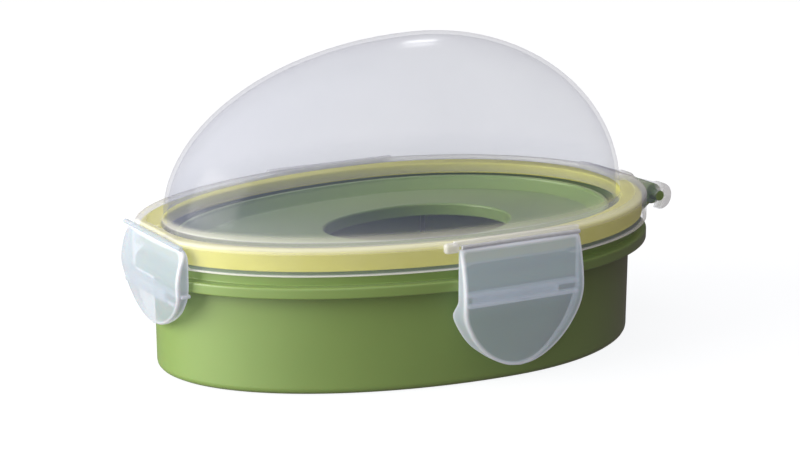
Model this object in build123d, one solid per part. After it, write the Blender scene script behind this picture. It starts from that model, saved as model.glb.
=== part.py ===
"""Snap lid food container, in millimetres.

The plan is an egg: two half ellipses that share one width. +X points at the hinged blunt end,
-Y at the front latch, +Z up. The origin is on the flat underside, under the widest section.
An "inset" is a distance inwards from the lid skirt's outer face.
"""
import os
from build123d import *

# Plan outline
NOSE = 120.0  # widest section to the narrow end
HEEL = 89.5  # widest section to the hinged end
HALF_WIDTH = 72.2
NOSE_FLAT = 115.5  # the narrow end is cut flat here, behind its latch
SIDE_FLAT = 70.5  # the two sides are cut flat here, behind their latches
GAP = 0.3  # clearance between pieces of different bodies

# Tub
WALL_INSET = 7.0
WALL = 2.0
FLOOR = 2.2
LIP_BOTTOM = 37.8
LIP_TOP = 42.0
NECK_INSET = 3.8
NECK_WALL = 2.0
NECK_TOP = 49.7
GUSSET_INSET = 24.0
GUSSET_BOTTOM = 20.0
GUSSET_ANGLES = (20, 60, 120, 160, 200, 240, 300, 340)

# Tray
TRAY_RIM_INSET = 15.0
TRAY_WALL = 1.8
TRAY_TOP = 46.0
TRAY_RIM_TOP = 50.5
OPENING_NOSE, OPENING_HEEL, OPENING_HALF = 44.0, 33.0, 27.0
COLLAR_BOTTOM = 41.0

# Lid
SKIRT = 1.6
SKIRT_BOTTOM = 45.9
FLANGE_TOP = 56.2
DOME_INSET = 10.7
DOME_WALL = 1.5
DOME_HEIGHT = 63.5
CHANNEL_BOTTOM = 51.0
NOTCH_TOP = 47.3

# Hinge at the blunt end
PIN_X, PIN_Z = 100.0, 47.0
PIN_RADIUS = 2.0
PIN_HALF = 14.0
LUG_HALF = 9.5
LUG_RADIUS = 4.3
EYE_RADIUS = 5.5
EYE_CLEARANCE = 0.05
CHEEK_INNER, CHEEK_OUTER = 10.0, 14.5

# Latches: distances outwards are from the flat behind each one
LATCH_HALF = 25.6
LATCH_PLATE = 1.6
LATCH_TOP = 53.2
SIDE_LATCH_X = -3.7
SIDE_BOTTOM, SIDE_BOW = 8.6, 7.4
END_BOTTOM, END_BOW = 21.3, 6.2
HINGE_OUT, HINGE_Z = 1.3, 54.4
BEAD_RADIUS = 0.8
BAR_LOW, BAR_HIGH = 36.0, 37.5
RIB_LOW, RIB_HIGH = 32.0, 33.4


def half_ellipses(nose, heel, half):
    """Egg-shaped face made of a nose half and a heel half."""
    nose_arc = EllipticalCenterArc((0, 0), nose, half, start_angle=90, arc_size=180)
    heel_arc = EllipticalCenterArc((0, 0), heel, half, start_angle=270, arc_size=180)
    return make_face([nose_arc, heel_arc])


def oval(inset):
    """Plain egg outline, drawn in by an inset."""
    return half_ellipses(NOSE - inset, HEEL - inset, HALF_WIDTH - inset)


def plan(inset):
    """Egg outline with the three latch flats."""
    back = -(NOSE_FLAT - inset)
    side = SIDE_FLAT - inset
    window = Pos((back + HEEL) / 2, 0) * Rectangle(HEEL - back, 2 * side)
    return oval(inset) & window


def column(face, low, high):
    """Upright solid on a face, between two heights."""
    return Pos(0, 0, low) * extrude(face, high - low)


def ring(outer, inner, low, high):
    """Upright band between two outlines."""
    return column(outer, low, high) - column(inner, low, high)


def stack(*levels):
    """Solid with sloping walls through (inset, height) levels of the plain egg."""
    return loft([Pos(0, 0, z) * oval(inset) for inset, z in levels], ruled=True)


def block(x, y, z):
    """Box between (low, high) pairs."""
    centre = [sum(pair) / 2 for pair in (x, y, z)]
    return Pos(*centre) * Box(x[1] - x[0], y[1] - y[0], z[1] - z[0])


def upright_bar(points, y_low, y_high):
    """Prism along Y from an outline of (x, z) points."""
    face = make_face(Polyline(*[(x, 0, z) for x, z in points], close=True))
    return Pos(0, y_low, 0) * extrude(face, y_high - y_low, dir=(0, 1, 0))


def rod(x, z, radius, y_low, y_high):
    """Cylinder along Y."""
    centre = Pos(x, (y_low + y_high) / 2, z) * Rot(90, 0, 0)
    return centre * Cylinder(radius, y_high - y_low)


def gussets():
    """Sloped webs inside the tub wall that carry the tray."""
    spokes = Part()
    heights = (GUSSET_BOTTOM, TRAY_TOP - TRAY_WALL - 0.05)
    for angle in GUSSET_ANGLES:
        spokes += Rot(0, 0, angle) * block((0, NOSE), (-1, 1), heights)
    cone = stack((WALL_INSET + WALL, GUSSET_BOTTOM), (GUSSET_INSET, TRAY_TOP))
    return spokes & (column(oval(WALL_INSET + WALL / 2), 0, TRAY_TOP) - cone)


def base_tub():
    """Tub with lip, sealing neck, tray gussets and the hinge lug."""
    body = stack((WALL_INSET + 2.6, 0), (WALL_INSET + 0.8, 0.8), (WALL_INSET, 2.6),
                 (WALL_INSET, LIP_TOP))
    lip = ring(plan(0), plan(2.0), LIP_BOTTOM, LIP_TOP)
    lip = fillet(lip.edges().group_by(Axis.Z)[-1].sort_by(SortBy.LENGTH)[-3:], 0.6)
    shelf = column(plan(1.0), LIP_TOP - 2.0, LIP_TOP)
    neck = column(plan(NECK_INSET), LIP_TOP, NECK_TOP)
    lug_points = [(84.5, 37.9), (92, 37.9), (99.5, 42.7), (PIN_X, PIN_Z),
                  (96, 46.5), (92.5, 45.4), (84.5, 45.4)]
    lug = upright_bar(lug_points, -LUG_HALF, LUG_HALF)
    lug += rod(PIN_X, PIN_Z, LUG_RADIUS, -LUG_HALF, LUG_HALF)
    body += [lip, shelf, neck, lug]
    inside = WALL_INSET + WALL
    body -= stack((inside + 2.2, FLOOR), (inside, FLOOR + 2.2), (inside, LIP_TOP - 2.0))
    body -= column(oval(inside) & plan(NECK_INSET + NECK_WALL), LIP_TOP - 2.1, LIP_TOP)
    body -= column(plan(NECK_INSET + NECK_WALL), LIP_TOP - 0.01, NECK_TOP)
    body -= rod(PIN_X, PIN_Z, PIN_RADIUS, -LUG_HALF, LUG_HALF)
    return body + gussets()


def hinge_pin():
    """Plain pin, pressed in the tub's lug."""
    return rod(PIN_X, PIN_Z, PIN_RADIUS, -PIN_HALF, PIN_HALF)


def drain_tray():
    """Lift-out tray: a flat plate with a sloping rim and an egg-shaped collared opening."""
    foot = TRAY_TOP - TRAY_WALL
    tray = stack((22.4, foot), (TRAY_RIM_INSET, TRAY_RIM_TOP - 1.2), (TRAY_RIM_INSET, TRAY_RIM_TOP))
    tray -= stack((22.0, TRAY_TOP), (TRAY_RIM_INSET + TRAY_WALL, TRAY_RIM_TOP - 0.6),
                  (TRAY_RIM_INSET + TRAY_WALL, TRAY_RIM_TOP))
    hole = half_ellipses(OPENING_NOSE, OPENING_HEEL, OPENING_HALF)
    collar = half_ellipses(*[size + TRAY_WALL for size in (OPENING_NOSE, OPENING_HEEL, OPENING_HALF)])
    tray += column(collar, COLLAR_BOTTOM, foot)
    return tray - column(hole, COLLAR_BOTTOM, TRAY_TOP)


def half_domes(inset):
    """Solid dome on the flange: a nose half and a heel half of an ellipsoid."""
    width = HALF_WIDTH - inset
    height = DOME_HEIGHT - (inset - DOME_INSET)
    reach = 2 * NOSE
    dome = Part()
    for length, side in ((NOSE - inset, -1), (HEEL - inset, 1)):
        ball = scale(Sphere(1), by=(length, width, height))
        dome += ball & block(sorted((0, side * reach)), (-reach, reach), (0, reach))
    return Pos(0, 0, FLANGE_TOP) * dome


def lid_cheeks():
    """Two arms from the flange to open clip eyes around the hinge pin."""
    arms = Part()
    for side in (-1, 1):
        y_low, y_high = sorted((side * CHEEK_INNER, side * CHEEK_OUTER))
        arm = upright_bar([(87.0, 46.2), (90.0, 46.0), (97, 43.0), (PIN_X + 2, PIN_Z + 5), (92, 54.6),
                           (87.0, 55.2)], y_low, y_high)
        arm += rod(PIN_X, PIN_Z, EYE_RADIUS, y_low, y_high)
        arms += arm - rod(PIN_X, PIN_Z, PIN_RADIUS + EYE_CLEARANCE, y_low, y_high)
    mouth = Pos(PIN_X, 0, PIN_Z) * Rot(0, 60, 0) * block((0, 2 * EYE_RADIUS), (-20, 20), (-1.7, 1.7))
    return arms - mouth


def hinge_bars():
    """Straight bars on the flange that the latches hang from."""
    bar = block((-LATCH_HALF - 2, LATCH_HALF + 2), (-0.4, SKIRT), (HINGE_Z, FLANGE_TOP + 0.4))
    return [place * bar for place in latch_places()]


def latch_places():
    """Front, rear and end placements; in each, -Y points outwards from its flat."""
    front = Pos(SIDE_LATCH_X, -SIDE_FLAT, 0)
    rear = Pos(SIDE_LATCH_X, SIDE_FLAT, 0) * Rot(0, 0, 180)
    end = Pos(-NOSE_FLAT, 0, 0) * Rot(0, 0, -90)
    return [front, rear, end]


def domed_lid():
    """Clear dome, flange, skirt, seal channel, hinge bars and hinge cheeks in one moulding."""
    cap = column(plan(0), SKIRT_BOTTOM, FLANGE_TOP)
    cap = fillet(cap.edges().group_by(Axis.Z)[-1], 1.2)
    cap -= column(plan(SKIRT), SKIRT_BOTTOM, FLANGE_TOP - SKIRT)
    cap += hinge_bars() + [lid_cheeks()]
    cap += ring(oval(DOME_INSET), oval(DOME_INSET + DOME_WALL), CHANNEL_BOTTOM, FLANGE_TOP)
    cap += half_domes(DOME_INSET)
    cap -= column(oval(DOME_INSET + DOME_WALL), CHANNEL_BOTTOM, FLANGE_TOP)
    cap -= half_domes(DOME_INSET + DOME_WALL)
    for place in latch_places():
        cap -= place * block((-20, 20), (-3, 3), (SKIRT_BOTTOM - 1, NOTCH_TOP))
    return cap


def lid_seal():
    """Soft ring in the lid channel, with a leg down the skirt."""
    body = ring(plan(SKIRT + 0.2), oval(DOME_INSET - 0.2), NECK_TOP + GAP, FLANGE_TOP - SKIRT)
    return body + ring(plan(SKIRT + 0.2), plan(NECK_INSET - 0.5), NOTCH_TOP, NECK_TOP + GAP)


def flap_outline(bottom, inset):
    """Front view of a latch flap: straight sides and a rounded tongue."""
    half, top, low = LATCH_HALF - inset, LATCH_TOP - inset, bottom + inset
    shoulder = low + 0.62 * (top - low)
    tongue = low + 0.3 * (top - low)
    sides = Polyline((-half, shoulder), (-half, top), (half, top), (half, shoulder))
    right = Spline((half, shoulder), (0.84 * half, tongue), (0, low), tangents=((0, -1), (-1, 0)))
    return make_face([sides, right, mirror(right, Plane.YZ)])


def flap_side(bottom, bow, wall):
    """Side view of a latch flap: it leans out from its hinge and back in to its tip."""
    height = LATCH_TOP - bottom
    top = (-(2.2 - wall / 2), LATCH_TOP)
    tip = (-max(3.2 - wall, 1.4), bottom)
    outer = Spline(top, (-(bow - wall), LATCH_TOP - 0.38 * height),
                   (-(0.82 * bow - wall), LATCH_TOP - 0.75 * height), tip)
    back = Polyline(tip, (-1.0, bottom), (-1.0, LATCH_TOP), top)
    return make_face([outer, back])


def filled_flap(bottom, bow, wall):
    """Flap as if solid, drawn in by a wall thickness."""
    front = Plane.XZ * flap_outline(bottom, wall)
    prism = extrude(front, 20, both=True)
    side = Plane.YZ * flap_side(bottom, bow, wall)
    return prism & extrude(side, LATCH_HALF + 5, both=True)


def latch(bottom, bow):
    """Hollow latch flap with its locking bar, lower rib and two stiffeners."""
    solid = filled_flap(bottom, bow, 0)
    flap = solid - filled_flap(bottom, bow, LATCH_PLATE)
    flap -= block((-20, 20), (-2.2, 0), (40, LATCH_TOP - LATCH_PLATE))
    half = LATCH_HALF - 2.6
    flap += block((-half, half), (-bow + 0.6, -GAP), (BAR_LOW, BAR_HIGH)) & (
        solid + block((-half, half), (-2, -GAP), (BAR_LOW, BAR_HIGH)))
    flap += block((-half, half), (-bow, -1.0), (RIB_LOW, RIB_HIGH)) & solid
    for x in (-14, 14):
        flap += block((x - 0.6, x + 0.6), (-bow, -1.6), (RIB_HIGH, BAR_LOW)) & solid
    return flap


def film_hinge():
    """Thin bead and web that a latch turns on."""
    bead = Pos(0, -HINGE_OUT, HINGE_Z) * Rot(0, 90, 0) * Cylinder(BEAD_RADIUS, 2 * LATCH_HALF - 1)
    half = LATCH_HALF - 0.5
    web = block((-half, half), (-HINGE_OUT, -0.4), (HINGE_Z + 0.1, HINGE_Z + 0.6))
    return bead + web


os.makedirs("parts", exist_ok=True)
nodes = {
    "base_tub": base_tub(),
    "hinge_pin": hinge_pin(),
    "drain_tray": drain_tray(),
    "domed_lid": domed_lid(),
    "lid_seal": lid_seal(),
}
sizes = {"front": (SIDE_BOTTOM, SIDE_BOW), "rear": (SIDE_BOTTOM, SIDE_BOW), "end": (END_BOTTOM, END_BOW)}
for (name, (bottom, bow)), place in zip(sizes.items(), latch_places()):
    nodes["latch_" + name] = place * latch(bottom, bow)
    nodes["film_hinge_" + name] = place * film_hinge()
for name, shape in nodes.items():
    export_step(shape, f"parts/{name}.step")
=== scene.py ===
"""Snap lid food container: an egg-shaped tub, a tall clear lid and its latches, around the CAD frame.

Sizes are in millimetres, and become metres where a mesh or a node takes them.
"""
import math
from typing import NamedTuple

import bmesh
import bpy
from bpy.props import FloatProperty, FloatVectorProperty, IntProperty, PointerProperty
from bpy.types import Operator, Panel, PropertyGroup
from mathutils import Matrix, Vector


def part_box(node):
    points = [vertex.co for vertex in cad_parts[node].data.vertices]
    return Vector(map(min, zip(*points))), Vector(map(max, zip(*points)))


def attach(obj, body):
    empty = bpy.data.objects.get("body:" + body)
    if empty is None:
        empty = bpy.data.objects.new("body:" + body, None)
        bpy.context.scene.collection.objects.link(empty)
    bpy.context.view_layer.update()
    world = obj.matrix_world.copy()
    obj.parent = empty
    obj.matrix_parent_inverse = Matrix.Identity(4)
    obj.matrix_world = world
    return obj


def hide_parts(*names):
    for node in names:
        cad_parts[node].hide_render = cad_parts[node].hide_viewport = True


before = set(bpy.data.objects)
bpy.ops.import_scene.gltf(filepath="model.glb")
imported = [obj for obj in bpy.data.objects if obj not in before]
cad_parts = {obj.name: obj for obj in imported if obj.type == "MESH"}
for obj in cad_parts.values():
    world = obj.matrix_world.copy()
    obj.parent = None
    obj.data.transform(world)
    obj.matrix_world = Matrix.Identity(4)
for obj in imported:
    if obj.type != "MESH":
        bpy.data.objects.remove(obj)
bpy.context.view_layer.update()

bl_info = {
    "name": "Snap Lid Food Container",
    "version": (1, 0, 0),
    "blender": (4, 5, 0),
    "location": "View3D > Sidebar > Container",
    "description": "Builds an egg-shaped food container with a domed, latched lid and a drain tray",
    "category": "Object",
}

MM = 0.001
MADE = {}


def node_box(node):
    """Low and high corners of a CAD node, in millimetres."""
    return [Vector(corner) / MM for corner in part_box(node)]


# Places that come from the frame
TUB_LOW, TUB_HIGH = node_box("base_tub")
TRAY_LOW, TRAY_HIGH = node_box("drain_tray")
SEAL_LOW, SEAL_HIGH = node_box("lid_seal")
FRONT_LOW, FRONT_HIGH = node_box("latch_front")
PIN = sum(node_box("hinge_pin"), Vector()) / 2
DOME_TOP = node_box("domed_lid")[1].z
END_TIP = node_box("latch_end")[0].z
NOSE_FLAT = -TUB_LOW.x
SIDE_FLAT = TUB_HIGH.y
LATCH_TOP = FRONT_HIGH.z + 0.5
LATCH_HALF = (FRONT_HIGH.x - FRONT_LOW.x) / 2
SIDE_LATCH_X = (FRONT_HIGH.x + FRONT_LOW.x) / 2

# Heights of the rim's parts, and how far the dome's foot stands in from the rim
LIP_BOTTOM, LIP_TOP = 37.8, 42.0
SKIRT_BOTTOM = 45.9
TRAY_TOP = 46.0
NECK_TOP = 49.7
HINGE_Z = 54.4
FLANGE_TOP = 56.2
DOME_INSET = 10.7

# How far a ring without flats clears them, and how softly a flat meets the round
FLAT_SLACK, CORNER_BLEND = 20.0, 0.6

# Points closer than this are one point
SAME_POINT = 0.002


# ---- nodes and colours


def placed(name, data):
    """Object for a mesh, a lamp or a camera, linked into the scene."""
    thing = bpy.data.objects.new(name, data)
    bpy.context.collection.objects.link(thing)
    return thing


def linear(code):
    """Linear colour with alpha from an sRGB hex code."""
    parts = [int(code[i:i + 2], 16) / 255 for i in (1, 3, 5)]
    return [c / 12.92 if c <= 0.04045 else ((c + 0.055) / 1.055) ** 2.4 for c in parts] + [1.0]


def add(tree, kind, links=None, **settings):
    """Add a node with its settings and its inputs."""
    node = tree.nodes.new(kind)
    for key, value in settings.items():
        setattr(node, key, value)
    feed(tree, node, links or {})
    return node


def feed(tree, node, links):
    """Give a node's inputs values or other nodes' sockets."""
    for key, value in links.items():
        if isinstance(value, bpy.types.NodeSocket):
            tree.links.new(value, node.inputs[key])
        else:
            node.inputs[key].default_value = value


def chain(tree, kind, steps):
    """Add nodes in order, where a step's inputs may name the results of earlier steps."""
    known = {}
    for name, operation, *values in steps:
        links = {place: known[value] if isinstance(value, str) else value
                 for place, value in enumerate(values)}
        known[name] = add(tree, kind, links, operation=operation).outputs[0]
    return known


def once(maker):
    """The material or geometry tree of a maker, made on the first call only."""
    if maker not in MADE:
        MADE[maker] = maker()
    return MADE[maker]


def sizes():
    """The sizes that a user may change."""
    return bpy.context.scene.container_sizes


def finishes():
    """The colours that a user may change."""
    return bpy.context.scene.container_finishes


# ---- materials


def new_material(name):
    """Node material, its tree, its Principled shader and the piece's own coordinates."""
    material = bpy.data.materials.new(name)
    material.use_nodes = True
    tree = material.node_tree
    tree.nodes.clear()
    shader = add(tree, "ShaderNodeBsdfPrincipled")
    add(tree, "ShaderNodeOutputMaterial", {"Surface": shader.outputs["BSDF"]})
    return material, tree, shader, add(tree, "ShaderNodeTexCoord").outputs["Object"]


def green_polypropylene():
    """Opaque pigmented polypropylene from a spark-eroded mould: a soft satin with a very fine grain.

    The real grain is under 0.1 mm, and is drawn at 0.45 mm so that it shows.
    """
    material, tree, shader, place = new_material("green_polypropylene")
    clouds = add(tree, "ShaderNodeTexNoise", {"Vector": place, "Scale": 1 / (28 * MM), "Detail": 3.0})
    grain = add(tree, "ShaderNodeTexNoise", {"Vector": place, "Scale": 1 / (0.45 * MM), "Detail": 4.0})
    body, shade = tuple(finishes().green), tuple(finishes().green_shade)
    colour = add(tree, "ShaderNodeMix", {"Factor": clouds.outputs["Fac"], 6: shade, 7: body},
                 data_type="RGBA")
    rough = add(tree, "ShaderNodeMapRange", {"Value": grain.outputs["Fac"], "To Min": 0.30, "To Max": 0.46})
    bump = add(tree, "ShaderNodeBump", {"Height": grain.outputs["Fac"], "Strength": 0.10,
                                        "Distance": 0.05 * MM})
    feed(tree, shader, {
        "Base Color": colour.outputs[2], "Roughness": rough.outputs["Result"],
        "Normal": bump.outputs["Normal"], "IOR": 1.49, "Specular IOR Level": 0.8, "Sheen Weight": 0.12,
        "Subsurface Weight": 0.06, "Subsurface Scale": 1.5 * MM})
    return material


def silicone():
    """Yellow silicone rubber, compression moulded: no gloss, and a faint painted glow, an emission that
    stands in for light scattered in the rubber.
    """
    material, tree, shader, place = new_material("yellow_silicone_rubber")
    bloom = add(tree, "ShaderNodeTexNoise", {"Vector": place, "Scale": 1 / (9 * MM), "Detail": 4.0})
    body, pale = tuple(finishes().yellow), tuple(finishes().yellow_pale)
    colour = add(tree, "ShaderNodeMix", {"Factor": bloom.outputs["Fac"], 6: body, 7: pale}, data_type="RGBA")
    rough = add(tree, "ShaderNodeMapRange", {"Value": bloom.outputs["Fac"], "To Min": 0.45, "To Max": 0.62})
    # The emission is painted light: a faint glow in the rubber's own colour.
    feed(tree, shader, {
        "Base Color": colour.outputs[2], "Roughness": rough.outputs["Result"], "IOR": 1.41,
        "Subsurface Weight": 0.25, "Subsurface Radius": (1.0, 0.95, 0.5), "Subsurface Scale": 2 * MM,
        "Emission Color": colour.outputs[2], "Emission Strength": 0.13})
    return material


def natural_lid_plastic():
    """Clarified polypropylene: clear where the dome is thin and polished, milky where the rim is thick.

    The piece's "milk" attribute says how thick and cloudy each place is. The glow is painted light: an
    emission in the plastic's own colour that stands in for light the cloudiness scatters.
    """
    material, tree, shader, place = new_material("clarified_polypropylene")
    milk = add(tree, "ShaderNodeAttribute", attribute_name="milk").outputs["Fac"]
    edge = add(tree, "ShaderNodeLayerWeight", {"Blend": 0.30}).outputs["Facing"]
    flow = add(tree, "ShaderNodeTexNoise", {"Vector": place, "Scale": 1 / (40 * MM), "Detail": 2.0})
    clear, cloudy = tuple(finishes().clear), tuple(finishes().milky)
    white = add(tree, "ShaderNodeMapRange", {"Value": milk, "From Min": 0.17, "From Max": 0.32})
    colour = add(tree, "ShaderNodeMix", {"Factor": white.outputs["Result"], 6: clear, 7: cloudy},
                 data_type="RGBA")
    rim = add(tree, "ShaderNodeMath", {0: edge, 1: 3.0}, operation="POWER")
    rim_share = add(tree, "ShaderNodeMath", {0: rim.outputs[0], 1: 0.15}, operation="MULTIPLY")
    haze = add(tree, "ShaderNodeMapRange", {"Value": flow.outputs["Fac"], "To Min": 0.88, "To Max": 1.12})
    cloud = add(tree, "ShaderNodeMath", {0: milk, 1: haze.outputs["Result"]}, operation="MULTIPLY")
    solid = add(tree, "ShaderNodeMath", {0: cloud.outputs[0], 1: rim_share.outputs[0]}, operation="ADD",
                use_clamp=True)
    rough = add(tree, "ShaderNodeMapRange", {"Value": milk, "From Max": 0.8, "To Min": 0.09, "To Max": 0.32})
    # The emission below is painted light: a glow in the plastic's own colour, standing in for light scattered
    # inside it.
    feed(tree, shader, {
        "Base Color": colour.outputs[2], "Alpha": solid.outputs[0], "Roughness": rough.outputs["Result"],
        "IOR": 1.5, "Coat Weight": 0.6, "Coat Roughness": 0.22,
        "Emission Color": colour.outputs[2], "Emission Strength": 0.13})
    return material


def milky_latch_plastic():
    """Natural polypropylene, unpigmented: grey-white and see-through when flat on, white along its thick
    edges, and whiter at a slant by painted sheen.

    It is cloudier near the hinge, where the moulding is thick. Its polishing marks are really under
    0.1 mm, and are drawn at 0.6 mm so that they show.
    """
    material, tree, shader, place = new_material("natural_polypropylene")
    edge = add(tree, "ShaderNodeLayerWeight", {"Blend": 0.35}).outputs["Facing"]
    milk = add(tree, "ShaderNodeAttribute", attribute_name="milk").outputs["Fac"]
    height = add(tree, "ShaderNodeSeparateXYZ", {0: place}).outputs["Z"]
    thick = add(tree, "ShaderNodeMapRange", {"Value": height, "From Min": 26 * MM, "From Max": 40 * MM,
                                             "To Min": 0.0, "To Max": 0.10}, interpolation_type="SMOOTHSTEP")
    body, white = tuple(finishes().latch), tuple(finishes().latch_edge_and_sheen)
    # Whitening where a face is seen at a slant is painted sheen; it is mixed with the real milkiness of the
    # thick edges.
    painted_sheen = add(tree, "ShaderNodeMath", {0: edge, 1: 2.5}, operation="POWER")
    lift = add(tree, "ShaderNodeMath", {0: painted_sheen.outputs[0], 1: milk}, operation="MAXIMUM")
    colour = add(tree, "ShaderNodeMix", {"Factor": lift.outputs[0], 6: body, 7: white}, data_type="RGBA")
    cloud = add(tree, "ShaderNodeMapRange", {"Value": lift.outputs[0], "To Min": 0.36, "To Max": 0.78})
    solid = add(tree, "ShaderNodeMath", {0: cloud.outputs["Result"], 1: thick.outputs["Result"]},
                operation="ADD", use_clamp=True)
    drag = add(tree, "ShaderNodeTexNoise", {"Vector": place, "Scale": 1 / (0.6 * MM), "Detail": 3.0})
    rough = add(tree, "ShaderNodeMapRange", {"Value": drag.outputs["Fac"], "To Min": 0.27, "To Max": 0.31})
    # The emission is painted light: a glow in the flap plastic's own colour.
    feed(tree, shader, {
        "Base Color": colour.outputs[2], "Alpha": solid.outputs[0], "Roughness": rough.outputs["Result"],
        "IOR": 1.49, "Subsurface Weight": 0.15, "Subsurface Scale": 2 * MM,
        "Emission Color": colour.outputs[2], "Emission Strength": 0.32})
    return material


def whitened_polypropylene():
    """Film hinge: the same plastic, thin and whitened where it has been folded."""
    material, tree, shader, place = new_material("whitened_polypropylene")
    crease = add(tree, "ShaderNodeTexNoise", {"Vector": place, "Scale": 1 / (3 * MM), "Detail": 3.0})
    solid = add(tree, "ShaderNodeMapRange", {"Value": crease.outputs["Fac"], "To Min": 0.62, "To Max": 0.86})
    feed(tree, shader, {"Base Color": linear("#DDE0E4"), "Alpha": solid.outputs["Result"], "Roughness": 0.5})
    return material


def studio_paper():
    """Seamless white paper: matt, bright by itself so that it stays white, with its fibres drawn coarse."""
    material, tree, shader, place = new_material("studio_paper")
    fibre = add(tree, "ShaderNodeTexNoise", {"Vector": place, "Scale": 1 / (2 * MM), "Detail": 3.0})
    bump = add(tree, "ShaderNodeBump", {"Height": fibre.outputs["Fac"], "Strength": 0.02,
                                        "Distance": 0.1 * MM})
    feed(tree, shader, {"Base Color": linear("#6E6E6E"), "Roughness": 0.9, "Normal": bump.outputs["Normal"],
                        "Emission Color": linear("#FDFEFF"), "Emission Strength": 0.90})
    return material


# ---- egg-shaped pieces


def corner(inset, height, radius=0.0, shrink=1.0, flat=1.0, milk=0.3):
    """One profile point: shrink draws its ring in, to 0 at a pole, and flat says how far it has the flats."""
    return (inset, height, shrink, flat, milk), radius


def distance(a, b):
    """Distance between two profile points, where shrink counts across a mean radius."""
    mean_radius = 60.0
    return math.hypot(a[0] - b[0], a[1] - b[1], (a[2] - b[2]) * mean_radius)


def between(a, b, share):
    """Profile point part of the way from one to another."""
    return tuple(p + (q - p) * share for p, q in zip(a, b))


def rounded(corners, closed=False, steps=5, hold=0.35, long_run=2.2):
    """Profile with its corners rounded, and a loop close to each round so that long flats shade flat."""
    points, bends = [], []
    for index, (here, radius) in enumerate(corners):
        ends = not closed and index in (0, len(corners) - 1)
        if radius == 0 or ends:
            points.append(here)
            bends.append(False)
            continue
        before, after = corners[index - 1][0], corners[(index + 1) % len(corners)][0]
        start = between(here, before, min(radius / distance(here, before), 0.48))
        stop = between(here, after, min(radius / distance(here, after), 0.48))
        for step in range(steps + 1):
            t = step / steps
            points.append(between(between(start, here, t), between(here, stop, t), t))
            bends.append(True)
    held = []
    last = len(points) if closed else len(points) - 1
    for index in range(last):
        here, after = points[index], points[(index + 1) % len(points)]
        held.append(here)
        run = distance(here, after)
        if run > long_run:
            if bends[index]:
                held.append(between(here, after, hold / run))
            if bends[(index + 1) % len(points)]:
                held.append(between(after, here, hold / run))
    if not closed:
        held.append(points[-1])
    return held


def strip(name, profile, closed):
    """Straight strip: inset along X, angle along Y, height along Z. The egg tree bends it round."""
    steps = sizes().segments
    rows = profile + profile[:1] if closed else profile
    verts, faces = [], []
    for step in range(steps + 1):
        angle = 2 * math.pi * step / steps
        verts += [(row[0] * MM, angle, row[1] * MM) for row in rows]
    count = len(rows)
    for step in range(steps):
        base = step * count
        faces += [(base + i, base + i + 1, base + count + i + 1, base + count + i) for i in range(count - 1)]
    mesh = bpy.data.meshes.new(name)
    mesh.from_pydata(verts, [], faces)
    for column, trait in ((2, "shrink"), (3, "flat"), (4, "milk")):
        values = [row[column] for row in rows] * (steps + 1)
        mesh.attributes.new(trait, "FLOAT", "POINT").data.foreach_set("value", values)
    return placed(name, mesh)


def new_tree(name, numbers):
    """Geometry tree with Geometry, number and Material inputs, and the sockets that give them."""
    tree = bpy.data.node_groups.new(name, "GeometryNodeTree")
    face = tree.interface
    face.new_socket("Geometry", in_out="INPUT", socket_type="NodeSocketGeometry")
    for number, default in numbers.items():
        kind = "NodeSocketInt" if isinstance(default, int) else "NodeSocketFloat"
        face.new_socket(number, in_out="INPUT", socket_type=kind).default_value = default
    face.new_socket("Material", in_out="INPUT", socket_type="NodeSocketMaterial")
    face.new_socket("Geometry", in_out="OUTPUT", socket_type="NodeSocketGeometry")
    return tree, add(tree, "NodeGroupInput").outputs


def close_tree(tree, geometry, given):
    """End a geometry tree in Realize Instances and Set Material."""
    real = add(tree, "GeometryNodeRealizeInstances", {"Geometry": geometry})
    dressed = add(tree, "GeometryNodeSetMaterial", {"Geometry": real.outputs[0],
                                                    "Material": given["Material"]})
    add(tree, "NodeGroupOutput", {"Geometry": dressed.outputs[0]})


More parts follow.
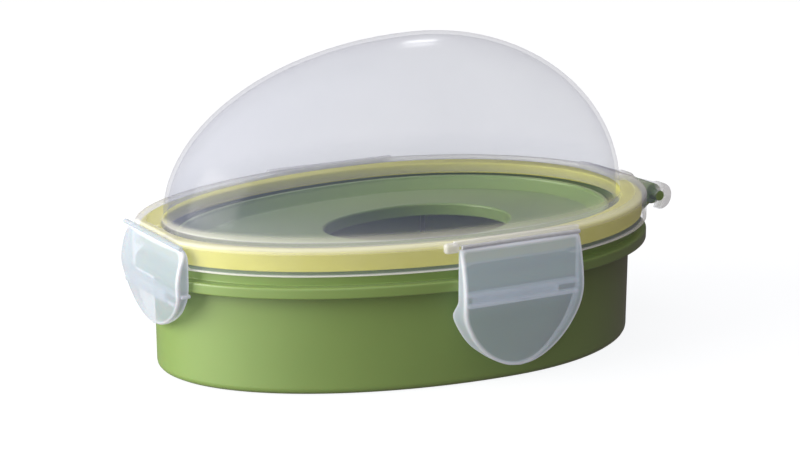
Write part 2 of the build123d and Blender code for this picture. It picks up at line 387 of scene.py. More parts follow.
def egg_tree():
    """Bend a straight strip round the egg: two half ellipses, cut flat where the latches sit."""
    tree, given = new_tree("egg_bend", {
        "Nose": 0.12, "Heel": 0.09, "Half Width": 0.07, "Nose Flat": 0.115, "Side Flat": 0.07,
        "Flat Slack": FLAT_SLACK * MM, "Corner Blend": CORNER_BLEND * MM})
    place = add(tree, "ShaderNodeSeparateXYZ", {0: add(tree, "GeometryNodeInputPosition").outputs[0]})
    inset, angle, height = place.outputs
    shrink, flat = [add(tree, "GeometryNodeInputNamedAttribute", {"Name": name}).outputs["Attribute"]
                    for name in ("shrink", "flat")]
    known = chain(tree, "ShaderNodeMath", (
        ("cosine", "COSINE", angle), ("sine", "SINE", angle),
        ("heelward", "GREATER_THAN", "cosine", 0.0), ("longer", "SUBTRACT", given["Heel"], given["Nose"]),
        ("length", "MULTIPLY_ADD", "heelward", "longer", given["Nose"]),
        ("length_left", "SUBTRACT", "length", inset), ("reach", "MULTIPLY", "length_left", shrink),
        ("width_left", "SUBTRACT", given["Half Width"], inset), ("width", "MULTIPLY", "width_left", shrink),
        ("x", "MULTIPLY", "reach", "cosine"), ("y", "MULTIPLY", "width", "sine"),
        ("roundness", "SUBTRACT", 1.0, flat), ("slack", "MULTIPLY", "roundness", given["Flat Slack"]),
        ("drawn", "SUBTRACT", "slack", inset),
        ("noseward", "MULTIPLY", "x", -1.0), ("nose_stop", "ADD", given["Nose Flat"], "drawn"),
        ("nose_cut", "SMOOTH_MIN", "noseward", "nose_stop", given["Corner Blend"]),
        ("sideward", "ABSOLUTE", "y"), ("side_stop", "ADD", given["Side Flat"], "drawn"),
        ("side_cut", "SMOOTH_MIN", "sideward", "side_stop", given["Corner Blend"]),
        ("hand", "SIGN", "y"), ("cut_y", "MULTIPLY", "side_cut", "hand"),
        ("cut_x", "MULTIPLY", "nose_cut", -1.0)))
    where = add(tree, "ShaderNodeCombineXYZ", {"X": known["cut_x"], "Y": known["cut_y"], "Z": height})
    moved = add(tree, "GeometryNodeSetPosition", {"Geometry": given["Geometry"],
                                                  "Position": where.outputs[0]})
    joined = add(tree, "GeometryNodeMergeByDistance", {"Geometry": moved.outputs[0],
                                                       "Distance": SAME_POINT * MM})
    smooth = add(tree, "GeometryNodeSetShadeSmooth", {"Geometry": joined.outputs[0]})
    close_tree(tree, smooth.outputs[0], given)
    return tree


def webs_tree():
    """Stand copies of one web round the inside of the egg, each pointing at the middle."""
    tree, given = new_tree("tray_webs", {
        "Count": 8, "Nose": 0.11, "Heel": 0.08, "Half Width": 0.06, "First Angle": 0.35})
    circle = add(tree, "GeometryNodeMeshCircle", {"Vertices": given["Count"], "Radius": 1.0})
    spin = add(tree, "ShaderNodeCombineXYZ", {"Z": given["First Angle"]})
    turned = add(tree, "GeometryNodeTransform", {"Geometry": circle.outputs[0], "Rotation": spin.outputs[0]})
    place = add(tree, "ShaderNodeSeparateXYZ", {0: add(tree, "GeometryNodeInputPosition").outputs[0]}).outputs
    known = chain(tree, "ShaderNodeMath", (
        ("heelward", "GREATER_THAN", place["X"], 0.0), ("longer", "SUBTRACT", given["Heel"], given["Nose"]),
        ("length", "MULTIPLY_ADD", "heelward", "longer", given["Nose"]),
        ("x", "MULTIPLY", place["X"], "length"), ("y", "MULTIPLY", place["Y"], given["Half Width"])))
    where = add(tree, "ShaderNodeCombineXYZ", {"X": known["x"], "Y": known["y"]})
    moved = add(tree, "GeometryNodeSetPosition", {"Geometry": turned.outputs[0],
                                                  "Position": where.outputs[0]})
    facing = add(tree, "FunctionNodeAlignRotationToVector",
                 {"Vector": add(tree, "GeometryNodeInputPosition").outputs[0]}, axis="X")
    copies = add(tree, "GeometryNodeInstanceOnPoints", {
        "Points": moved.outputs[0], "Instance": given["Geometry"], "Rotation": facing.outputs[0]})
    close_tree(tree, copies.outputs[0], given)
    return tree


def row_tree():
    """Stand copies of one small rib in an even row along X."""
    tree, given = new_tree("rib_row", {"Count": 2, "Span": 0.028})
    known = chain(tree, "ShaderNodeMath", (
        ("half", "MULTIPLY", given["Span"], 0.5), ("back", "MULTIPLY", "half", -1.0)))
    start, stop = [add(tree, "ShaderNodeCombineXYZ", {"X": known[end]}).outputs[0]
                   for end in ("back", "half")]
    line = add(tree, "GeometryNodeMeshLine", {"Count": given["Count"], "Start Location": start,
                                              "Offset": stop}, mode="END_POINTS", count_mode="TOTAL")
    copies = add(tree, "GeometryNodeInstanceOnPoints", {"Points": line.outputs[0],
                                                        "Instance": given["Geometry"]})
    close_tree(tree, copies.outputs[0], given)
    return tree


def run_tree(piece, group, values):
    """Run a geometry tree on a piece with named inputs, and keep its result as a plain mesh."""
    modifier = piece.modifiers.new(group.name, "NODES")
    modifier.node_group = group
    keys = {item.name: item.identifier for item in group.interface.items_tree if item.in_out == "INPUT"}
    for name, value in values.items():
        modifier[keys[name]] = value
    seen = piece.evaluated_get(bpy.context.evaluated_depsgraph_get())
    mesh = bpy.data.meshes.new_from_object(seen)
    piece.modifiers.clear()
    old = piece.data
    piece.data = mesh
    bpy.data.meshes.remove(old)
    mesh.name = piece.name
    return piece


def face_outwards(piece):
    """Merge doubles and point every face out of its closed shell."""
    work = bmesh.new()
    work.from_mesh(piece.data)
    bmesh.ops.remove_doubles(work, verts=work.verts, dist=SAME_POINT * MM)
    bmesh.ops.dissolve_degenerate(work, edges=work.edges, dist=0.0005 * MM)
    bmesh.ops.recalc_face_normals(work, faces=work.faces)
    work.to_mesh(piece.data)
    work.free()
    return piece


def egg_piece(name, corners, maker, closed=False):
    """Finished ring or bowl of the egg from its profile corners."""
    piece = strip(name, rounded(corners, closed), closed)
    size = sizes()
    run_tree(piece, once(egg_tree), {
        "Nose": size.nose, "Heel": size.heel, "Half Width": size.half_width, "Nose Flat": NOSE_FLAT * MM,
        "Side Flat": SIDE_FLAT * MM, "Flat Slack": FLAT_SLACK * MM, "Corner Blend": CORNER_BLEND * MM,
        "Material": once(maker)})
    return face_outwards(piece)


# ---- straight pieces


def solid_piece(name, work, maker, milk=None):
    """Object from a bmesh in millimetres, smooth, with a material and, where given, one even milk value."""
    bmesh.ops.recalc_face_normals(work, faces=work.faces)
    bmesh.ops.scale(work, vec=(MM, MM, MM), verts=work.verts)
    mesh = bpy.data.meshes.new(name)
    work.to_mesh(mesh)
    work.free()
    if milk is not None:
        values = [milk] * len(mesh.vertices)
        mesh.attributes.new("milk", "FLOAT", "POINT").data.foreach_set("value", values)
    mesh.materials.append(once(maker))
    mesh.shade_smooth()
    return placed(name, mesh)


def bevelled(work, width, segments=3, sharp=0.5):
    """Round the sharp edges of a bmesh."""
    edges = [e for e in work.edges if len(e.link_faces) == 2 and e.calc_face_angle() > sharp]
    bmesh.ops.bevel(work, geom=edges, offset=width, segments=segments, profile=0.5, affect="EDGES",
                    clamp_overlap=True, harden_normals=False)


def rounded_block(low, high, width, work=None):
    """Bar between two corners with rounded edges."""
    own = bmesh.new()
    bmesh.ops.create_cube(own, size=1.0)
    low, high = Vector(low), Vector(high)
    for vert in own.verts:
        vert.co = Vector([low[i] if vert.co[i] < 0 else high[i] for i in range(3)])
    bevelled(own, width)
    return merged(own, work)


def merged(own, work):
    """Add one bmesh to another, or give it back if there is no other."""
    if work is None:
        return own
    mesh = bpy.data.meshes.new("spare")
    own.to_mesh(mesh)
    own.free()
    work.from_mesh(mesh)
    bpy.data.meshes.remove(mesh)
    return work


def side_plate(outline, y_low, y_high, width, work=None):
    """Plate with an outline of (x, z) points, upright along Y, edges rounded."""
    own = bmesh.new()
    verts = [own.verts.new((x, y_low, z)) for x, z in outline]
    face = own.faces.new(verts)
    grown = bmesh.ops.extrude_face_region(own, geom=[face])
    moved = [v for v in grown["geom"] if isinstance(v, bmesh.types.BMVert)]
    bmesh.ops.translate(own, verts=moved, vec=(0, y_high - y_low, 0))
    bmesh.ops.recalc_face_normals(own, faces=own.faces)
    edges = [e for e in own.edges if abs(e.verts[0].co.y - e.verts[1].co.y) < 0.01]
    bmesh.ops.bevel(own, geom=edges, offset=width, segments=3, profile=0.5, affect="EDGES",
                    clamp_overlap=True)
    return merged(own, work)


def arc(centre, radius, start, stop, steps):
    """Points of an arc in the XZ plane, angles in degrees from +X towards +Z."""
    turns = [math.radians(start + (stop - start) * i / steps) for i in range(steps + 1)]
    return [(centre.x + radius * math.cos(t), centre.z + radius * math.sin(t)) for t in turns]


def join(name, pieces):
    """Join several pieces into the first and name it."""
    work = bmesh.new()
    for piece in pieces:
        work.from_mesh(piece.data)
    first = pieces[0]
    work.to_mesh(first.data)
    work.free()
    for piece in pieces[1:]:
        spare = piece.data
        bpy.data.objects.remove(piece)
        bpy.data.meshes.remove(spare)
    first.name = name
    first.data.name = name
    return first


# ---- the container's pieces


def make_tub():
    """Green tub with its lip, neck and floor."""
    wall, inner = 7.0, 9.0
    oval = dict(flat=0.0)
    outside = [
        corner(9.6, 0.0, shrink=0.0, **oval), corner(9.6, 0.0, shrink=0.5, **oval),
        corner(7.2, 0.0, radius=2.6, **oval), corner(wall, 20.0, **oval),
        corner(wall - 0.2, 40.0, radius=0.5, **oval), corner(2.0, 40.0, radius=0.4),
        corner(2.0, LIP_BOTTOM, radius=0.45), corner(0.0, LIP_BOTTOM, radius=0.6),
        corner(0.0, LIP_TOP, radius=0.9), corner(3.8, LIP_TOP, radius=0.4),
        corner(3.8, NECK_TOP, radius=0.7), corner(5.8, NECK_TOP, radius=0.7)]
    inside = [
        corner(5.8, 40.4, radius=0.6), corner(inner, 39.4, radius=0.6, **oval),
        corner(inner, 2.2, radius=3.0, **oval), corner(14.0, 2.2, shrink=0.5, **oval),
        corner(14.0, 2.2, shrink=0.0, **oval)]
    return egg_piece("tub_shell", outside + inside, green_polypropylene)


def make_tub_webs():
    """Webs inside the tub that the tray stands on."""
    drop, top, reach = 22.0, TRAY_LOW.z + 3.15, 15.2
    work = side_plate([(0.6, top - drop), (0.6, top), (-reach, top)], -1.0, 1.0, 0.35)
    piece = solid_piece("tub_webs", work, green_polypropylene)
    size = sizes()
    inset = 9.0 * MM
    run_tree(piece, once(webs_tree), {
        "Count": 8, "Nose": size.nose - inset, "Heel": size.heel - inset,
        "Half Width": size.half_width - inset, "First Angle": math.radians(22.5),
        "Material": once(green_polypropylene)})
    return piece


def make_tub_lug():
    """Solid lug behind the tub that holds the hinge pin."""
    outline = [(84.8, 38.2), (92.0, 38.2), (97.4, 42.2)]
    outline += arc(PIN, 4.2, 250 - 360, 150, 22) + [(92.4, 45.3), (84.8, 45.3)]
    work = side_plate(outline, -9.4, 9.4, 0.6)
    return solid_piece("tub_hinge_lug", work, green_polypropylene)


def make_tray():
    """Drain tray: a sloping rim, a flat plate and a collared opening."""
    hole, wall = 0.3687, 0.021
    foot = TRAY_TOP - 1.8
    rim_top = TRAY_HIGH.z
    oval = dict(flat=0.0)
    corners = [
        corner(22.0, TRAY_TOP, radius=1.2, **oval), corner(17.0, rim_top - 1.0, radius=0.8, **oval),
        corner(16.8, rim_top, radius=0.7, **oval), corner(15.05, rim_top, radius=0.7, **oval),
        corner(15.05, rim_top - 1.4, radius=0.6, **oval), corner(22.5, foot, radius=1.2, **oval),
        corner(0.0, foot, radius=0.5, shrink=hole + wall, **oval),
        corner(0.0, TRAY_LOW.z, radius=0.5, shrink=hole + wall, **oval),
        corner(0.0, TRAY_LOW.z, radius=0.5, shrink=hole, **oval),
        corner(0.0, TRAY_TOP, radius=0.9, shrink=hole, **oval)]
    return egg_piece("tray_plate", corners, green_polypropylene, closed=True)


def make_seal():
    """Silicone ring in the lid's channel, with a leg behind the skirt."""
    top, bottom = SEAL_HIGH.z - 0.15, NECK_TOP + 0.35
    oval = dict(flat=0.0)
    corners = [
        corner(1.95, top, radius=0.8), corner(10.3, top, radius=0.8, **oval),
        corner(10.3, bottom, radius=0.8, **oval), corner(3.3, bottom, radius=0.4),
        corner(3.3, SEAL_LOW.z + 0.1, radius=0.5), corner(1.95, SEAL_LOW.z + 0.1, radius=0.5)]
    return egg_piece("seal_ring", corners, silicone, closed=True)


def dome_arc(inset, height, low, high, milk):
    """Profile points up one side of the dome, between two angles in degrees."""
    step = 2.5
    count = abs(round((high - low) / step))
    angles = [math.radians(low + (high - low) * i / count) for i in range(count + 1)]
    points = []
    for angle in angles:
        foot = max(0.0, 1 - math.sin(angle) * 5)
        points.append(corner(inset, FLANGE_TOP + height * math.sin(angle), shrink=max(math.cos(angle), 0.0),
                             flat=0.0, milk=milk + 0.08 * foot))
    return points


def make_lid_shell():
    """Dome, flange, skirt and seal channel as one wall."""
    clear = finishes().dome_haze
    rise = DOME_TOP - FLANGE_TOP
    outer = dome_arc(DOME_INSET, rise, 90, 2.5, clear)
    flange = [
        corner(DOME_INSET - 0.1, FLANGE_TOP - 0.3, radius=0.5, flat=0.0, milk=0.45),
        corner(9.5, FLANGE_TOP - 0.35, radius=0.3, flat=0.62, milk=0.33),
        corner(5.2, FLANGE_TOP - 0.35, radius=0.3, flat=0.87, milk=0.33),
        corner(4.6, FLANGE_TOP, radius=0.4, flat=0.9, milk=0.42),
        corner(0.0, FLANGE_TOP, radius=1.9, milk=0.55), corner(0.0, 53.6, milk=0.22),
        corner(0.0, SKIRT_BOTTOM + 0.9, milk=0.20),
        corner(0.0, SKIRT_BOTTOM, radius=0.5, milk=0.62), corner(1.6, SKIRT_BOTTOM, radius=0.5, milk=0.62),
        corner(1.6, SKIRT_BOTTOM + 0.9, milk=0.05), corner(1.6, 54.6, radius=0.4, milk=0.05)]
    channel = [
        corner(DOME_INSET - 0.1, 54.6, radius=0.3, flat=0.0, milk=0.05),
        corner(DOME_INSET - 0.1, 51.0, radius=0.4, flat=0.0, milk=0.2),
        corner(DOME_INSET + 1.5, 51.0, radius=0.4, flat=0.0, milk=0.2)]
    inner = dome_arc(DOME_INSET + 1.5, rise - 1.5, 0, 90, clear * 0.5)
    return raise_skirt(egg_piece("lid_shell", outer + flange + channel + inner, natural_lid_plastic))


def raise_skirt(piece):
    """Lift the skirt's lower edge a little behind each latch, with a soft corner at both ends."""
    half, ease, lift, band, depth = LATCH_HALF - 2.4, 2.2, 1.4, 4.0, 3.0
    for place in latch_places().values():
        back = place.inverted()
        for vert in piece.data.vertices:
            x, y, z = back @ (vert.co / MM)
            if abs(x) < half and abs(y) < depth and z < SKIRT_BOTTOM + band:
                share = min((half - abs(x)) / ease, 1.0)
                fade = 1 - max(z - SKIRT_BOTTOM, 0.0) / band
                vert.co.z += lift * MM * fade * share * share * (3 - 2 * share)
    return piece


def latch_places():
    """Front, rear and end placements in millimetres; in each, -Y points outwards from its flat."""
    front = Matrix.Translation((SIDE_LATCH_X, -SIDE_FLAT, 0))
    rear = Matrix.Translation((SIDE_LATCH_X, SIDE_FLAT, 0)) @ Matrix.Rotation(math.pi, 4, "Z")
    end = Matrix.Translation((-NOSE_FLAT, 0, 0)) @ Matrix.Rotation(-math.pi / 2, 4, "Z")
    return {"front": front, "rear": rear, "end": end}


def make_lid_trim():
    """Hinge bars on the flange with a nub at one end, the wedge behind the dome and the two clip cheeks."""
    work = bmesh.new()
    half = LATCH_HALF + 1.9
    for name, side in (("front", -1), ("rear", 1)):  # side: the end with the nub
        place = latch_places()[name]
        ends = sorted((side * half, -side * (half - 1.7)))
        own = rounded_block((ends[0], -0.35, HINGE_Z + 0.1), (ends[1], 1.5, FLANGE_TOP + 0.35), 0.5)
        ends = sorted((side * (half - 1.6), side * (half + 4.2)))
        rounded_block((ends[0], -1.7, HINGE_Z - 1.9), (ends[1], 1.2, FLANGE_TOP + 0.1), 1.1, own)
        bmesh.ops.transform(own, matrix=place, verts=own.verts)
        merged(own, work)
    for side in (-1, 1):
        y_low, y_high = sorted((side * 10.0, side * 14.5))
        eye = arc(PIN, 5.45, -110, 95, 26)
        outline = [(87.0, 46.3), (90.5, 46.1), (94.2, 45.4), (95.0, 44.7)]
        outline += arc(PIN, 2.15, 232, -58, 34) + eye[2:] + [(92.6, 54.4), (87.0, 55.2)]
        side_plate(outline, y_low, y_high, 0.5, work)
    wedge = [(79.4, FLANGE_TOP - 0.6), (88.3, FLANGE_TOP - 0.8), (88.3, FLANGE_TOP - 0.1),
             (81.0, FLANGE_TOP + 2.0), (79.4, FLANGE_TOP + 2.0)]
    side_plate(wedge, -14.4, 14.4, 0.5, work)
    piece = solid_piece("lid_trim", work, natural_lid_plastic, milk=0.50)
    arm_start, eye_start = 88.6, PIN.x + 0.8
    for vert, milk in zip(piece.data.vertices, piece.data.attributes["milk"].data):
        x = vert.co.x / MM
        milk.value = 0.42 if x <= arm_start else 0.15 if x < eye_start else 0.62
    return piece


# ---- latch flaps


def resampled(points, count):
    """Closed outline with evenly spaced points, starting from its first."""
    loop = points + points[:1]
    runs = [math.dist(a, b) for a, b in zip(loop, loop[1:])]
    total, out, index, gone = sum(runs), [], 0, 0.0
    for step in range(count):
        target = total * step / count
        while gone + runs[index] < target - 1e-9:
            gone += runs[index]
            index += 1
        share = (target - gone) / runs[index]
        a, b = loop[index], loop[index + 1]
        out.append((a[0] + (b[0] - a[0]) * share, a[1] + (b[1] - a[1]) * share))
    return out


# Half outline of a flap's tongue: share of the half width against share of the way down
TONGUE = ((1.0, 0.0), (0.997, 0.10), (0.985, 0.20), (0.957, 0.31), (0.915, 0.40), (0.862, 0.49),
          (0.80, 0.58), (0.715, 0.675), (0.615, 0.765), (0.495, 0.85), (0.36, 0.92), (0.20, 0.975),
          (0.0, 1.0))

# Side view of a flap's face: share of the way down against share of the bow
BOW = ((0.18, 0.78), (0.40, 1.0), (0.62, 0.80), (0.82, 0.58), (1.0, 0.40))


class FlapShape(NamedTuple):
    """Sizes of one kind of latch flap."""
    low: float  # height of its tip
    bow: float  # how far its face stands out at the finger grip
    curve: float  # how far its sides fall back, to follow the egg in plan
    wrap: float  # how far its return wall reaches in under the tub's lip
    radius: float  # its two upper corners
    stops: bool  # whether its locking bar has end stops


def smooth_line(knots, steps=5):
    """Points of a smooth curve through the knots, without the first one."""
    ends = [knots[0]] + list(knots) + [knots[-1]]
    points = []
    for a, b, c, d in zip(ends, ends[1:], ends[2:], ends[3:]):
        for step in range(1, steps + 1):
            t = step / steps
            points.append(tuple(
                0.5 * (2 * q + (r - p) * t + (2 * p - 5 * q + 4 * r - s) * t * t
                       + (3 * q - p - 3 * r + s) * t ** 3)
                for p, q, r, s in zip(a, b, c, d)))
    return points


def flap_outline(shape, inset, count=160):
    """Front view of a flap as (across, height): straight sides, then a rounded tongue."""
    half, top, bottom, radius = LATCH_HALF - inset, LATCH_TOP - inset, shape.low + inset, shape.radius
    shoulder = bottom + 0.62 * (top - bottom)
    right = [(0.0, top), (half - radius, top)]
    for step in range(1, 6):
        turn = math.radians(90 - 18 * step)
        right.append((half - radius + radius * math.cos(turn), top - radius + radius * math.sin(turn)))
    for width, fall in smooth_line(TONGUE):
        right.append((half * width, shoulder - fall * (shoulder - bottom)))
    left = [(-x, z) for x, z in reversed(right[1:-1])]
    return resampled(right + left, count)


def flap_bow(shape, height):
    """How far the flap's face stands out at a height: out to the finger grip, then in to its tip."""
    at_hinge = 2.2
    knots = [(0.0, at_hinge)] + [(down, out * shape.bow) for down, out in BOW]
    share = min(max((LATCH_TOP - height) / (LATCH_TOP - shape.low), 0.0), 1.0)
    line = knots[:1] + smooth_line(knots)
    for (above, out_above), (below, out_below) in zip(line, line[1:]):
        if share <= below:
            return out_above + (out_below - out_above) * (share - above) / max(below - above, 1e-6)
    return knots[-1][1]


def flap_rings(shape):
    """Rings of (across, out, height, milk) from the middle of the face round to the middle of the back."""
    middle = (LATCH_TOP + shape.low) / 2
    plate, foot, edge, flare, skin = 1.5, 1.0, 0.9, 1.4, 0.15
    rings = []

    def face_ring(share, inset, depth, milk):
        ring = []
        for x, z in flap_outline(shape, inset):
            x, z = x * share, middle + (z - middle) * share
            ring.append((x, max(flap_bow(shape, z) - depth, foot + skin), z, milk))
        return ring

    for step in range(0, 13):
        rings.append(face_ring(step / 12, edge + 0.7, 0.0, 0.0))
    rings.append(face_ring(1.0, edge, 0.0, 0.6))
    for step in range(1, 7):
        turn = math.radians(15 * step)
        rings.append(face_ring(1.0, edge * (1 - math.sin(turn)), edge * (1 - math.cos(turn)), 0.8))

    def back_edge(z):
        """Back edge of the return wall: in front of the lip above, closer to the tub below it."""
        under = min(max((LIP_BOTTOM - 3.2 - z) / 7.0, 0.0), 1.0)
        tip = min(max((z - shape.low) / 9.0, 0.0), 1.0)
        return foot - shape.wrap * under * under * (3 - 2 * under) * tip

    def wall_ring(inset, depth, share, milk):
        ring = []
        for x, z in flap_outline(shape, inset):
            front = max(flap_bow(shape, z) - depth, foot + skin)
            back = back_edge(z)
            spread = 1 + flare * share * (foot - back) / 3.0 / LATCH_HALF
            ring.append((x * spread, front + (back - front) * share, z, milk))
        return ring

    for share, milk in ((0.05, 0.7), (0.2, 0.32), (0.5, 0.26), (0.8, 0.32), (0.97, 0.7), (1.0, 0.85)):
        rings.append(wall_ring(0.0, edge, share, milk))
    rings += [wall_ring(0.25, edge, 1.03, 0.9), wall_ring(0.9, edge, 1.03, 0.9)]
    rings += [wall_ring(1.2, plate, share, 0.15) for share in (0.97, 0.6, 0.2)]
    for step in range(12, -1, -1):
        rings.append(face_ring(step / 12, plate, plate, 0.0))
    return [[(x, y - shape.curve * (x / LATCH_HALF) ** 2, z, milk) for x, y, z, milk in ring]
            for ring in rings]


def make_flap(name, place, shape):
    """Latch flap shell with its locking bar, lower rib and stiffeners."""
    work = bmesh.new()
    layer = work.verts.layers.float.new("milk")
    rows = []
    for ring in flap_rings(shape):
        row = []
        for x, out, z, milk in ring:
            vert = work.verts.new((x, -out, z))
            vert[layer] = milk
            row.append(vert)
        rows.append(row)
    for a, b in zip(rows, rows[1:]):
        for i in range(len(a)):
            j = (i + 1) % len(a)
            work.faces.new((a[i], a[j], b[j], b[i]))
    bmesh.ops.remove_doubles(work, verts=work.verts, dist=SAME_POINT)
    shell = solid_piece(name, work, milky_latch_plastic)
    piece = join(name, [shell] + flap_ribs(shape))
    piece.data.transform(Matrix.Translation(place.to_translation() * MM) @ place.to_3x3().to_4x4())
    return piece


def flap_ribs(shape):
    """Locking bar under the tub's lip, lower rib, the posts between them and the milky pocket plate."""
    bar_low, bar_high, rib_low, rib_high = 36.0, 37.4, 32.0, 33.3
    half = LATCH_HALF - 2.2
    deep = flap_bow(shape, bar_low) - 0.8 - shape.curve * 0.8
    far_down = (LATCH_TOP - rib_low) / (LATCH_TOP - shape.low) >= 0.6
    reach = half * 0.86 if far_down else half
    # Low corner, high corner, edge radius and milk of each block
    blocks = {
        "bar": ((-half, -deep, bar_low), (half, -0.35, bar_high), 0.35, 0.35),
        "rib": ((-reach, -deep, rib_low), (reach, -1.2, rib_high), 0.35, 0.6),
        "post": ((-0.6, -deep, rib_high - 0.2), (0.6, -2.4, bar_low + 0.2), 0.25, 0.3),
        "pocket": ((-21.5, -3.6, rib_low + 0.6), (14.6, -2.3, bar_high - 0.2), 0.6, 0.45)}
    if shape.stops:
        near, far = LATCH_HALF - 2.0, LATCH_HALF - 0.3
        blocks["left_stop"] = ((-far, -1.6, bar_low), (-near, shape.curve, bar_high), 0.5, 0.7)
        blocks["right_stop"] = ((near, -1.6, bar_low), (far, shape.curve, bar_high), 0.5, 0.7)
    parts = {name: solid_piece(name, rounded_block(low, high, width), milky_latch_plastic, milk)
             for name, (low, high, width, milk) in blocks.items()}
    run_tree(parts["post"], once(row_tree), {"Count": 2, "Span": 28 * MM,
                                             "Material": once(milky_latch_plastic)})
    return list(parts.values())


# ---- operators


class ContainerSizes(PropertyGroup):
    """Driving sizes of the egg and the meshes."""
    nose: FloatProperty(name="Nose", description="Widest section to the narrow end", default=0.120,
                        unit="LENGTH", subtype="DISTANCE")
    heel: FloatProperty(name="Heel", description="Widest section to the hinged end", default=0.0895,
                        unit="LENGTH", subtype="DISTANCE")
    half_width: FloatProperty(name="Half Width", description="Half the width before the flats",
                              default=0.0722, unit="LENGTH", subtype="DISTANCE")
    segments: IntProperty(name="Segments", description="Steps round the egg", default=288, min=48)


def tint(name, description, code):
    """Colour property with its default given as an sRGB hex code."""
    return FloatVectorProperty(name=name, description=description, default=linear(code), size=4,
                               min=0.0, max=1.0, subtype="COLOR")


class ContainerFinishes(PropertyGroup):
    """Colours of the plastics, and the dome's haze."""
    green: tint("Green", "Tub and tray plastic", "#87A357")
    green_shade: tint("Green Shade", "Slower-cooled streaks in it", "#7F9A51")
    yellow: tint("Yellow", "Seal", "#E4E05E")
    yellow_pale: tint("Pale Yellow", "Bloom on the seal", "#ECE97C")
    clear: tint("Clear", "Tint of the dome", "#989FC8")
    milky: tint("Milky", "Tint of the thick rim", "#F4F4F2")
    latch: tint("Latch", "Latch flaps seen flat on", "#AFBBC5")
    # White of the latches' thick edges, and also of the painted sheen where a flap is seen at a slant.
    latch_edge_and_sheen: tint("Latch Edge", "Latch flaps at their edges", "#D5D7DD")
    dome_haze: FloatProperty(name="Dome Haze", description="How cloudy the clear dome is", default=0.15,
                             min=0.0, max=1.0, subtype="FACTOR")


def need(*nodes):
    """Stop an operator whose CAD nodes are missing from the frame."""
    missing = [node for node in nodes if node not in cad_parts]
    if missing:
        raise RuntimeError("The frame has no " + ", ".join(missing))


class CONTAINER_OT_tub(Operator):
    """Build the tub, its tray webs and its hinge lug, and dress the hinge pin"""
    bl_idname = "container.tub"
    bl_label = "Tub"

    def execute(self, context):
        need("base_tub", "hinge_pin")
        shell, webs, lug = make_tub(), make_tub_webs(), make_tub_lug()
        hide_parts("base_tub")
        for piece in (shell, webs, lug):
            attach(piece, "base")
        dress("hinge_pin", green_polypropylene)
        return {"FINISHED"}


class CONTAINER_OT_tray(Operator):
    """Build the drain tray"""
    bl_idname = "container.tray"
    bl_label = "Drain Tray"

    def execute(self, context):
        need("drain_tray")
        tray = make_tray()
        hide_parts("drain_tray")
        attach(tray, "tray")
        return {"FINISHED"}


class CONTAINER_OT_lid(Operator):
    """Build the domed lid, its hinge bars and its hinge cheeks"""
    bl_idname = "container.lid"
    bl_label = "Domed Lid"

    def execute(self, context):
        need("domed_lid")
        shell, trim = make_lid_shell(), make_lid_trim()
        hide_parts("domed_lid")
        for piece in (shell, trim):
            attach(piece, "lid")
        return {"FINISHED"}


class CONTAINER_OT_seal(Operator):
    """Build the silicone seal"""
    bl_idname = "container.seal"
    bl_label = "Seal"

    def execute(self, context):
        need("lid_seal")
        seal = make_seal()
        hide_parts("lid_seal")
        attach(seal, "lid")
        return {"FINISHED"}


class CONTAINER_OT_latches(Operator):
    """Build the three latch flaps and dress their film hinges"""
    bl_idname = "container.latches"
    bl_label = "Latches"

    def execute(self, context):
        side = FlapShape(low=FRONT_LOW.z - 1.4, bow=5.9, curve=1.0, wrap=3.0, radius=1.2, stops=False)
        end = FlapShape(low=END_TIP, bow=5.6, curve=2.2, wrap=0.4, radius=4.0, stops=True)
        for name, shape in (("front", side), ("rear", side), ("end", end)):
            need("latch_" + name, "film_hinge_" + name)
            flap = make_flap(name + "_latch_flap", latch_places()[name], shape)
            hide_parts("latch_" + name)
            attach(flap, name + "_latch")
            dress("film_hinge_" + name, milky_latch_plastic if name == "end" else whitened_polypropylene)
        return {"FINISHED"}


def dress(node, maker):
    """Give a CAD node its material."""
    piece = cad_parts[node]
    for place in piece.material_slots:
        place.material = once(maker)


def area_lamp(name, place, target, size, power, colour):
    """Soft box aimed at a point."""
    lamp = bpy.data.lights.new(name, "AREA")
    lamp.shape = "RECTANGLE"
    lamp.size, lamp.size_y = size
    lamp.energy = power
    lamp.color = linear(colour)[:3]
    holder = placed(name, lamp)
    holder.location = place
    holder.rotation_euler = (Vector(target) - Vector(place)).to_track_quat("-Z", "Y").to_euler()


def paint_air(tree):
    """Surround of a tent: white cloth on the left and overhead, an unlit room on the right."""
    tree.nodes.clear()
    way = add(tree, "ShaderNodeTexCoord").outputs["Generated"]
    leftness = add(tree, "ShaderNodeVectorMath", {0: way, 1: (-1.0, -0.19, 0.80)}, operation="DOT_PRODUCT")
    cloth = add(tree, "ShaderNodeMapRange", {"Value": leftness.outputs["Value"], "From Min": 0.42,
                                             "From Max": 0.58}, interpolation_type="SMOOTHSTEP")
    room, tent = [0.118, 0.088, 0.112, 1.0], [0.94, 0.93, 0.97, 1.0]
    glow = add(tree, "ShaderNodeMix", {"Factor": cloth.outputs["Result"], 6: room, 7: tent}, data_type="RGBA")
    air = add(tree, "ShaderNodeBackground", {"Color": glow.outputs[2]})
    add(tree, "ShaderNodeOutputWorld", {"Surface": air.outputs[0]})


def make_floor():
    """Round sheet of studio paper with a tall rim, which lights and mirrors in nothing."""
    radius, tall, turns = 4.0, 4.0, 96
    work = bmesh.new()
    bmesh.ops.create_circle(work, cap_ends=True, segments=turns, radius=radius)
    rim = [e for e in work.edges if e.is_boundary]
    grown = bmesh.ops.extrude_edge_only(work, edges=rim)["geom"]
    raised = [v for v in grown if isinstance(v, bmesh.types.BMVert)]
    bmesh.ops.translate(work, vec=(0, 0, tall), verts=raised)
    mesh = bpy.data.meshes.new("studio_floor")
    work.to_mesh(mesh)
    work.free()
    mesh.materials.append(once(studio_paper))
    floor = placed("studio_floor", mesh)
    floor.visible_diffuse = floor.visible_glossy = False
    return floor


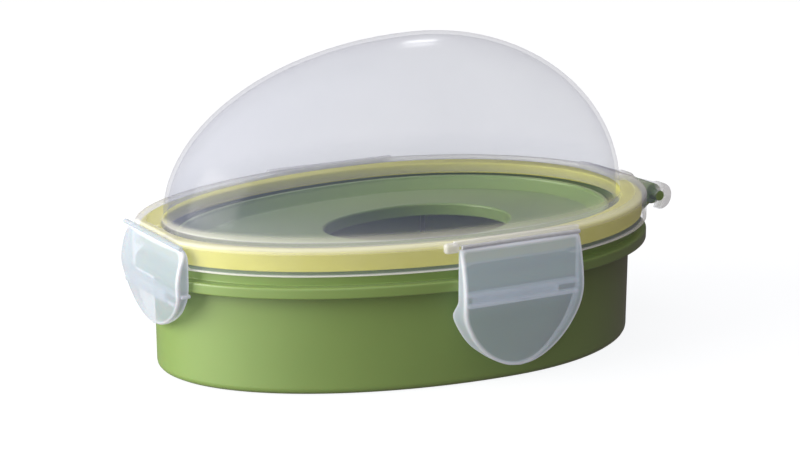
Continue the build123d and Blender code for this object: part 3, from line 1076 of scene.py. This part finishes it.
def make_camera():
    """Camera in front of the container and a little above it."""
    lens = bpy.data.cameras.new("view")
    lens.lens, lens.sensor_width = 100.2, 36.0
    camera = placed("view", lens)
    camera.location = (-0.4269, -0.7266, 0.2503)
    camera.rotation_euler = Vector((0.4802, 0.8435, -0.2407)).to_track_quat("-Z", "Y").to_euler()
    return camera


class CONTAINER_OT_stage(Operator):
    """Set the floor, the white surround, the soft lights and the camera"""
    bl_idname = "container.stage"
    bl_label = "Stage"

    def execute(self, context):
        make_floor()
        world = bpy.data.worlds.new("studio_air")
        context.scene.world = world
        world.use_nodes = True
        paint_air(world.node_tree)
        aim = (0.0, 0.0, 0.08)
        area_lamp("key_softbox", (-1.20, 0.10, 0.40), aim, (1.1, 0.9), 21, "#FFFCF4")
        area_lamp("sparkle_lamp", (0.62, 1.0, 0.80), aim, (0.10, 0.10), 0.5, "#FFFFFF")
        context.scene.view_settings.view_transform = "Standard"
        context.scene.camera = make_camera()
        return {"FINISHED"}


class CONTAINER_PT_panel(Panel):
    """Lists the container's pieces"""
    bl_idname = "CONTAINER_PT_panel"
    bl_label = "Snap Lid Container"
    bl_space_type = "VIEW_3D"
    bl_region_type = "UI"
    bl_category = "Container"

    def draw(self, context):
        for group in (context.scene.container_sizes, context.scene.container_finishes):
            box = self.layout.box()
            for name in group.__annotations__:
                box.prop(group, name)
        for operator in OPERATORS:
            self.layout.operator(operator.bl_idname)


OPERATORS = (CONTAINER_OT_tub, CONTAINER_OT_tray, CONTAINER_OT_lid, CONTAINER_OT_seal, CONTAINER_OT_latches,
             CONTAINER_OT_stage)
CLASSES = (ContainerSizes, ContainerFinishes) + OPERATORS + (CONTAINER_PT_panel,)


def register():
    for cls in CLASSES:
        bpy.utils.register_class(cls)
    bpy.types.Scene.container_sizes = PointerProperty(type=ContainerSizes)
    bpy.types.Scene.container_finishes = PointerProperty(type=ContainerFinishes)


def unregister():
    del bpy.types.Scene.container_finishes
    del bpy.types.Scene.container_sizes
    for cls in reversed(CLASSES):
        bpy.utils.unregister_class(cls)


def main():
    """Build everything in order."""
    register()
    bpy.ops.container.tub()
    bpy.ops.container.tray()
    bpy.ops.container.lid()
    bpy.ops.container.seal()
    bpy.ops.container.latches()
    bpy.ops.container.stage()


if __name__ == "__main__":
    main()
